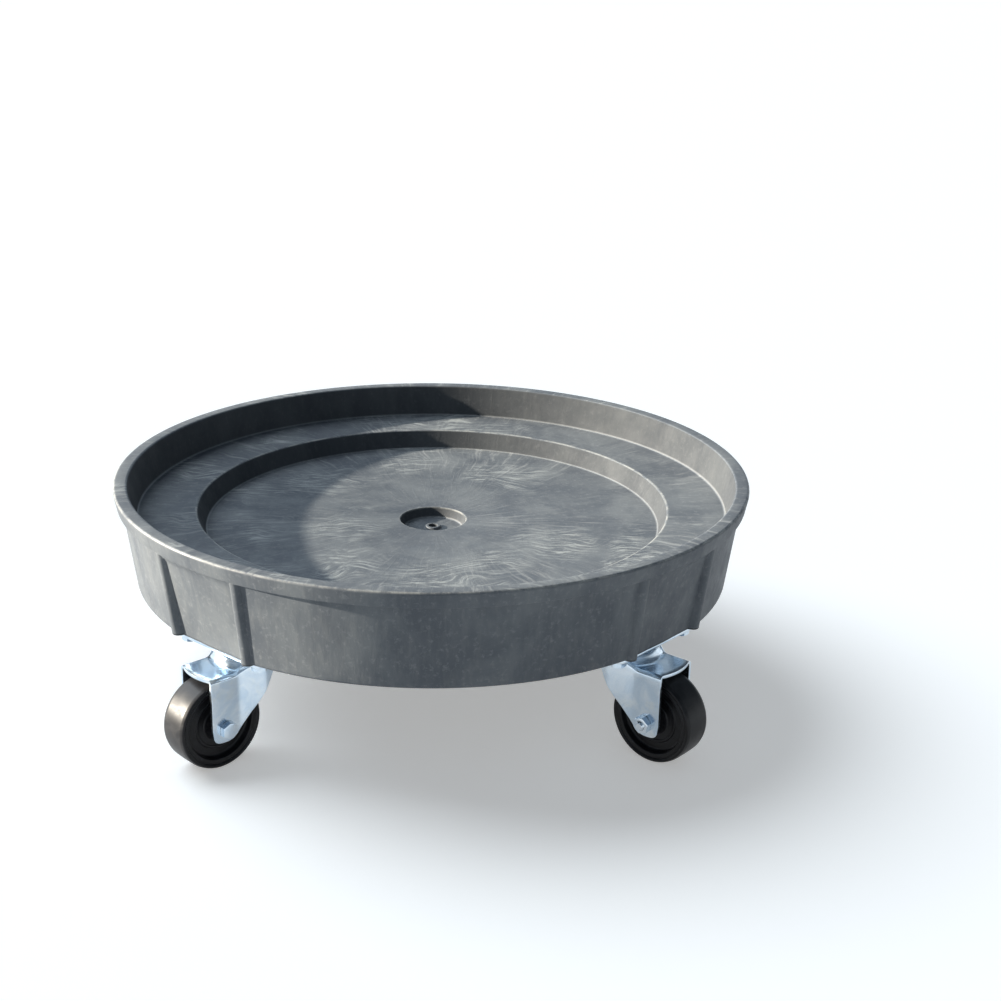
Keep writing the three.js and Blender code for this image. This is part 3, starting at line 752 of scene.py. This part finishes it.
# ---- materials ----------------------------------------------------------------------------
class Nodes:
    """Short calls that add nodes to a tree, wire them, and set the tree's shader."""

    def __init__(self, tree, shader):
        self.tree = tree
        self.shader = tree.nodes[shader]

    def put(self, socket, value):
        self.wire(self.shader.inputs[socket], value)

    def wire(self, socket, value):
        if isinstance(value, bpy.types.NodeSocket):
            self.tree.links.new(value, socket)
        elif value is not None:
            socket.default_value = value

    def node(self, kind, values, **settings):
        made = self.tree.nodes.new("ShaderNode" + kind)
        for key, value in settings.items():
            setattr(made, key, value)
        for key, value in values.items():
            self.wire(made.inputs[key], value)
        return made

    def math(self, operation, a, b=None):
        return self.node("Math", {0: a, 1: b}, operation=operation).outputs[0]

    def times(self, first, *others):
        for other in others:
            first = self.math("MULTIPLY", first, other)
        return first

    def plus(self, first, *others):
        for other in others:
            first = self.math("ADD", first, other)
        return first

    def vector(self, operation, a, b):
        return self.node("VectorMath", {0: a, 1: b}, operation=operation)

    def length(self, vector):
        return self.vector("LENGTH", vector, None).outputs["Value"]

    def split(self, vector):
        return self.node("SeparateXYZ", {0: vector}).outputs

    def combine(self, x, y, z):
        return self.node("CombineXYZ", {0: x, 1: y, 2: z}).outputs[0]

    def stretched(self, vector, scale):
        return self.node("Mapping", {"Vector": vector, "Scale": scale}).outputs[0]

    def noise_node(self, vector, scale, detail, roughness=0.55, distortion=0):
        return self.node("TexNoise", {"Vector": vector, "Scale": scale, "Detail": detail,
                                      "Roughness": roughness, "Distortion": distortion})

    def noise(self, *values):
        return self.noise_node(*values).outputs["Fac"]

    def drifted(self, vector, scale, detail, reach):
        """The vector moved about by a noise, by up to half of reach each way."""
        colour = self.noise_node(vector, scale, detail).outputs["Color"]
        drift = self.vector("SUBTRACT", colour, (0.5, 0.5, 0.5)).outputs[0]
        drift = self.node("VectorMath", {0: drift, "Scale": reach}, operation="SCALE").outputs[0]
        return self.vector("ADD", vector, drift).outputs[0]

    def band(self, value, low, high, to_low=0, to_high=1):
        """The value carried from low..high to to_low..to_high, smoothly, held at both ends."""
        return self.node("MapRange", {0: value, 1: low, 2: high, 3: to_low, 4: to_high},
                         interpolation_type="SMOOTHSTEP").outputs[0]

    def mix(self, share, a, b):
        """Colour a with a share of colour b laid over it. Each is a socket or three numbers."""
        made = self.node("Mix", {0: share}, data_type="RGBA")
        for socket, colour in ((6, a), (7, b)):
            self.wire(made.inputs[socket], (*colour, 1) if isinstance(colour, tuple) else colour)
        return made.outputs[2]

    def bump(self, height, depth, strength=1):
        """A normal from a height. depth is the relief's height in millimetres."""
        values = {"Height": height, "Distance": depth * MM, "Strength": strength}
        return self.node("Bump", values).outputs[0]


class Finish(Nodes):
    """A material with a Principled shader, laid out by the place in the object."""

    def __init__(self, name, **surface):
        self.material = bpy.data.materials.new(name)
        self.material.use_nodes = True
        super().__init__(self.material.node_tree, "Principled BSDF")
        self.place = self.tree.nodes.new("ShaderNodeTexCoord").outputs["Object"]
        for key, value in surface.items():
            self.put(key.replace("_", " ").title(), value)


# where the plastic swirled as it filled the mould: x, y and size
FEATHERED = ((-90, -122, 44), (-5, -146, 52), (45, -128, 52), (110, -72, 56), (-122, 118, 54))

# rings (radius, height) of the deck where drums rub, and the inside corners under its walls, where
# a highlight is painted
WORN_EDGES = ((RIM_R - 1, RIM_TOP - 0.9), (243.6, LEDGE_Z - 0.5), (34.6, FLOOR_Z - 0.5))
INNER_CORNERS = ((302.2, LEDGE_Z + 1), (233.6, FLOOR_Z + 0.8), (30, PIT_Z + 0.7))

PLASTIC_DARK = (0.053, 0.062, 0.074)
PLASTIC_PALE = (0.096, 0.107, 0.116)
PLASTIC_STREAK = (0.22, 0.23, 0.23)
PLASTIC_THREAD = (0.26, 0.27, 0.27)
PLASTIC_FEATHER = (0.34, 0.36, 0.35)
PLASTIC_RUN = (0.17, 0.175, 0.17)
PLASTIC_SPECK = (0.20, 0.21, 0.22)
# painted shade: the colour the inner walls of the recess are darkened towards
PLASTIC_PAINTED_INNER_SHADE = (0.022, 0.024, 0.026)
# painted highlight: the lighter colour laid in the inside corners
PLASTIC_PAINTED_CORNER_HIGHLIGHT = (0.34, 0.34, 0.33)
PLASTIC_RUBBED = (0.30, 0.30, 0.28)
# painted shade: the dark colour along the foot of the outside wall, where it meets the plate
PLASTIC_PAINTED_FOOT_SHADE = (0.012, 0.012, 0.013)


def flow_lines(f):
    """How the plastic ran out from the middle: broad streaks in patches, and fine threads."""
    x, y, _ = f.split(f.drifted(f.place, 5, 3, 0.055))
    reach = f.length(f.combine(x, y, 0))
    away_x, away_y = f.math("DIVIDE", x, reach), f.math("DIVIDE", y, reach)

    def rays(turns, length, scale, detail):
        spot = f.combine(f.times(away_x, turns), f.times(away_y, turns), f.times(reach, length))
        return f.noise(spot, scale, detail, 0.62)

    streaks = f.band(rays(26, 12, 1.6, 7), 0.5, 0.72)
    threads = f.band(rays(70, 16, 1.5, 5), 0.56, 0.74)
    patches = f.band(f.noise(f.place, 7, 3), 0.42, 0.62)
    return streaks, threads, patches


def feathers_of(f):
    """Swirled lines, in the FEATHERED places and some others."""
    x, y, _ = f.split(f.drifted(f.place, 9, 2, 0.11))
    lines = f.noise(f.combine(f.times(x, 34), f.times(y, 230), 0), 1, 8, 0.7)
    spots = f.band(f.noise(f.place, 9, 3), 0.47, 0.62)
    for at_x, at_y, size in FEATHERED:
        away = f.vector("SUBTRACT", f.combine(x, y, 0), (at_x * MM, at_y * MM, 0)).outputs[0]
        inside = f.band(f.length(away), 0.45 * size * MM, 1.1 * size * MM, 1, 0)
        spots = f.math("MAXIMUM", spots, inside)
    return f.times(f.band(lines, 0.46, 0.62), spots)


def deck_plastic():
    """Moulded recycled plastic: mottled, with flow streaks out from the middle, scuffed edges,
    painted shade on the inner walls and along the foot of the outside wall, and a painted highlight
    in the inside corners.
    """
    f = Finish("deck_plastic")
    f.put("Specular IOR Level", 0.42)
    place = f.place
    streaks, threads, patches = flow_lines(f)
    feathers = feathers_of(f)

    x, y, z = f.split(place)
    flat_place = f.combine(x, y, 0)
    reach = f.length(flat_place)

    def near_rings(rings, full, gone):
        """1 within full millimetres of a ring (radius, height), falling to 0 at gone."""
        share = None
        for r, height in rings:
            off_r = f.math("SUBTRACT", reach, r * MM)
            off_z = f.math("SUBTRACT", z, height * MM)
            distance = f.length(f.combine(off_r, off_z, 0))
            near = f.band(distance, full * MM, gone * MM, 1, 0)
            share = near if share is None else f.math("MAXIMUM", share, near)
        return share

    # level is 1 on floors and ledges; upright, its opposite, is 1 on walls
    normal = f.node("NewGeometry", {}).outputs["Normal"]
    level = f.band(f.math("ABSOLUTE", f.split(normal)[2]), 0.55, 0.85)
    upright = f.math("SUBTRACT", 1, level)
    outward = f.vector("DOT_PRODUCT", normal, flat_place).outputs["Value"]
    # inner_wall marks the walls that face the middle: their colour is darkened as painted shade,
    # and they are made rougher
    inner_wall = f.times(upright, f.band(outward, -0.002, 0.002, 1, 0))

    around = f.combine(f.math("DIVIDE", x, reach), f.math("DIVIDE", y, reach), f.times(z, 0.7))
    runs = f.times(f.band(f.noise(around, 60, 6, 0.62), 0.45, 0.72), upright)
    mottle = f.band(f.noise(f.stretched(place, (1, 1, 0.45)), 17, 7, 0.62, 0.5), 0.34, 0.68)
    specks = f.band(f.noise(place, 190, 5, 0.7), 0.52, 0.7)
    grain = f.noise(place, 420, 3)
    # corners drives a painted highlight in the colour, and a lower roughness
    corners = near_rings(INNER_CORNERS, 0.4, 1.7)
    scuffs = f.band(f.noise(place, 60, 5, 0.7), 0.36, 0.62)
    rubbed = f.times(near_rings(WORN_EDGES, 0.3, 1.7), scuffs)
    # painted shade: a band just above the deck's bottom, on the upright faces
    foot_painted_shade = f.band(z, (DECK_BOTTOM + 0.4) * MM, (DECK_BOTTOM + 2.2) * MM, 1, 0)

    colour = f.mix(mottle, PLASTIC_DARK, PLASTIC_PALE)
    for share, paint in (
            (f.times(streaks, patches, level, 0.75), PLASTIC_STREAK),
            (f.times(threads, level, 0.35), PLASTIC_THREAD),
            (f.times(feathers, level, 0.52), PLASTIC_FEATHER),
            (f.times(runs, 0.16), PLASTIC_RUN),
            (f.times(specks, 0.3), PLASTIC_SPECK),
            # painted shade: the inner walls of the recess made darker
            (f.times(inner_wall, 0.6), PLASTIC_PAINTED_INNER_SHADE),
            # painted highlight: a lighter line in the inside corners
            (f.times(corners, 0.22), PLASTIC_PAINTED_CORNER_HIGHLIGHT),
            (f.times(rubbed, 0.55), PLASTIC_RUBBED),
            # painted shade: a dark band along the foot of the outside wall
            (f.times(upright, foot_painted_shade, 0.8), PLASTIC_PAINTED_FOOT_SHADE)):
        colour = f.mix(share, colour, paint)
    f.put("Base Color", colour)

    rough = f.band(f.noise(place, 45, 5, 0.6), 0.3, 0.7, 0.50, 0.64)
    f.put("Roughness", f.plus(rough, f.times(inner_wall, 0.3), f.times(rubbed, -0.08),
                              f.times(corners, -0.15)))
    relief = f.plus(f.times(streaks, level, 0.25), f.times(feathers, level, 0.45),
                    f.times(runs, 0.2), f.times(grain, 0.14), f.times(mottle, 0.25))
    f.put("Normal", f.bump(relief, 0.32, 0.8))
    return f.material


ZINC_COOL = (0.56, 0.68, 0.80)
ZINC_PALE = (0.74, 0.82, 0.89)
ZINC_WARM = (0.78, 0.80, 0.76)
ZINC_SCUFF = (0.56, 0.61, 0.66)


def zinc_plate():
    """Bright zinc on pressed sheet, with cool and warm patches, rolling lines and scuffs."""
    f = Finish("zinc_plate", metallic=1)
    place = f.place
    cloud = f.band(f.noise(place, 38, 4, 0.6, 0.8), 0.34, 0.66)
    elsewhere = f.vector("ADD", place, (3.1, 1.7, 0.4)).outputs[0]
    warm = f.band(f.noise(elsewhere, 55, 3), 0.54, 0.7)
    scuff = f.band(f.noise(f.stretched(place, (300, 90, 420)), 1, 6, 0.7, 1.5), 0.6, 0.75)
    colour = f.mix(cloud, ZINC_COOL, ZINC_PALE)
    colour = f.mix(f.times(warm, 0.3), colour, ZINC_WARM)
    f.put("Base Color", f.mix(f.times(scuff, 0.25), colour, ZINC_SCUFF))
    rough = f.band(f.noise(place, 90, 5, 0.6), 0.3, 0.7, 0.17, 0.26)
    f.put("Roughness", f.plus(rough, f.times(scuff, 0.08)))
    rolled = f.noise(f.stretched(place, (60, 900, 900)), 1, 3, 0.6)
    waves = f.noise(place, 16, 1)  # the sheet is not quite flat
    relief = f.plus(f.times(rolled, 0.5), f.times(f.noise(place, 260, 4), 0.6), f.times(waves, 90))
    f.put("Normal", f.bump(relief, 0.012, 0.6))
    return f.material


STEEL_BARE = (0.60, 0.61, 0.63)
STEEL_GREASY = (0.26, 0.22, 0.15)


def bearing_steel():
    """Ground steel with a film of grease that has picked up dust."""
    f = Finish("bearing_steel", metallic=1)
    grease = f.band(f.noise(f.place, 120, 4, 0.6), 0.48, 0.66)
    f.put("Base Color", f.mix(f.times(grease, 0.7), STEEL_BARE, STEEL_GREASY))
    f.put("Roughness", f.band(grease, 0, 1, 0.14, 0.34))
    f.put("Normal", f.bump(f.noise(f.place, 700, 3), 0.02))
    return f.material


RUBBER_DARK = (0.005, 0.005, 0.006)
RUBBER_DUSTY = (0.011, 0.011, 0.013)
RUBBER_TREAD = (0.018, 0.018, 0.019)


def wheel_rubber():
    """Hard black wheel, polished by the mould on its faces and scuffed grey on the tread."""
    f = Finish("wheel_rubber")
    f.put("Specular IOR Level", 0.25)
    place = f.place
    hub = (AXLE_X * MM, 0, WHEEL_R * MM)
    x, y, z = f.split(f.vector("SUBTRACT", place, hub).outputs[0])
    reach = f.length(f.combine(x, z, 0))
    tread = f.band(reach, (WHEEL_R - 1.6) * MM, (WHEEL_R - 0.4) * MM)
    dust = f.band(f.noise(place, 75, 6, 0.65, 0.5), 0.4, 0.68)
    colour = f.mix(dust, RUBBER_DARK, RUBBER_DUSTY)
    colour = f.mix(f.times(tread, f.band(dust, 0, 1, 0.3, 0.75)), colour, RUBBER_TREAD)
    f.put("Base Color", colour)
    f.put("Roughness", f.plus(f.band(dust, 0, 1, 0.32, 0.42), f.times(tread, 0.08)))
    around = f.combine(f.math("DIVIDE", x, reach), f.times(y, 90), f.math("DIVIDE", z, reach))
    scrub = f.noise(around, 9, 5, 0.6)
    relief = f.plus(f.times(scrub, tread, 0.8), f.times(f.noise(place, 320, 3), 0.3))
    f.put("Normal", f.bump(relief, 0.08, 0.7))
    return f.material


# ---- stage --------------------------------------------------------------------------------
SKY_BLUE = (0.62, 0.80, 1)
SKY_PALE = (0.95, 0.98, 1)
WHITE = (1, 1, 1)
FLOOR_HALF = 40 / MM
KEY_TOWARDS = (-0.951, 0.123, 0.283)  # low on the left: it draws the curved shadow on the deck
OVERHEAD_TOWARDS = (-0.55, 0.40, 0.73)


def sky():
    """Soft light from a band at the horizon and from in front and behind, on a white backdrop."""
    world = bpy.data.worlds.new("studio")
    bpy.context.scene.world = world
    world.use_nodes = True
    f = Nodes(world.node_tree, "Background")
    _, y, z = f.split(f.node("TexCoord", {}).outputs["Generated"])
    horizon = f.band(z, 0.06, 0.26, 1, 0)
    behind = f.times(f.band(y, 0.35, 0.95), f.band(z, 0.1, 0.75, 1, 0))
    before = f.band(y, -0.95, -0.2, 1, 0)
    light = f.plus(f.times(horizon, 0.78), f.times(behind, 0.75), f.times(before, 0.22), 0.14)
    seen = f.node("LightPath", {}).outputs["Is Camera Ray"]
    f.put("Color", f.mix(seen, f.mix(horizon, SKY_BLUE, SKY_PALE), WHITE))
    f.put("Strength", f.math("MAXIMUM", seen, light))


def stage_floor():
    outline = [(-FLOOR_HALF, -FLOOR_HALF), (FLOOR_HALF, -FLOOR_HALF),
               (FLOOR_HALF, FLOOR_HALF), (-FLOOR_HALF, FLOOR_HALF)]
    floor = bpy.data.objects.new("floor", prism("floor", outline, -10, 0))
    paint = Finish("floor", base_color=(0.9, 0.87, 0.83, 1), roughness=0.9,
                   emission_color=(1, 0.99, 0.97, 1), emission_strength=0.34)
    floor.data.materials.append(paint.material)
    bpy.context.scene.collection.objects.link(floor)
    return floor


def sun(name, strength, spread, colour, towards):
    """A lamp far away in one direction, as wide as its spread in degrees."""
    lamp = bpy.data.lights.new(name, "SUN")
    lamp.energy = strength
    lamp.angle = math.radians(spread)
    lamp.color = colour
    made = bpy.data.objects.new(name, lamp)
    made.rotation_euler = Vector(towards).to_track_quat("Z", "Y").to_euler()
    bpy.context.scene.collection.objects.link(made)
    return made


def stage():
    sky()
    bpy.context.scene.view_settings.view_transform = "Standard"
    floor = stage_floor()
    key = sun("key", 16.5, 1.4, (1, 0.91, 0.78), KEY_TOWARDS)
    sun("overhead", 3, 50, (0.82, 0.91, 1), OVERHEAD_TOWARDS)
    unlit = bpy.data.collections.new("not_lit_by_key")
    unlit.objects.link(floor)
    key.light_linking.receiver_collection = unlit
    unlit.collection_objects[0].light_linking.link_state = "EXCLUDE"


def camera():
    """The photo's viewpoint, from a fit to its circles. The place is in metres."""
    data = bpy.data.cameras.new("camera")
    data.sensor_width = 36
    data.lens = 62.62
    right = Vector((0.99777, -0.06457, 0.01682))
    up = Vector((0.00629, 0.34194, 0.93970))
    ahead = Vector((0.06643, 0.93750, -0.34158))
    matrix = Matrix((right, up, -ahead)).transposed().to_4x4()
    matrix.translation = Vector((-0.05058, -1.70581, 0.80940))
    view = bpy.data.objects.new("camera", data)
    view.matrix_world = matrix
    bpy.context.scene.collection.objects.link(view)
    bpy.context.scene.camera = view


meshes = assemble()
for make in (deck_plastic, zinc_plate, bearing_steel, wheel_rubber):
    finish = make()
    for mesh in meshes[make.__name__]:
        mesh.materials.clear()
        mesh.materials.append(finish)
stage()
camera()
bpy.context.view_layer.update()
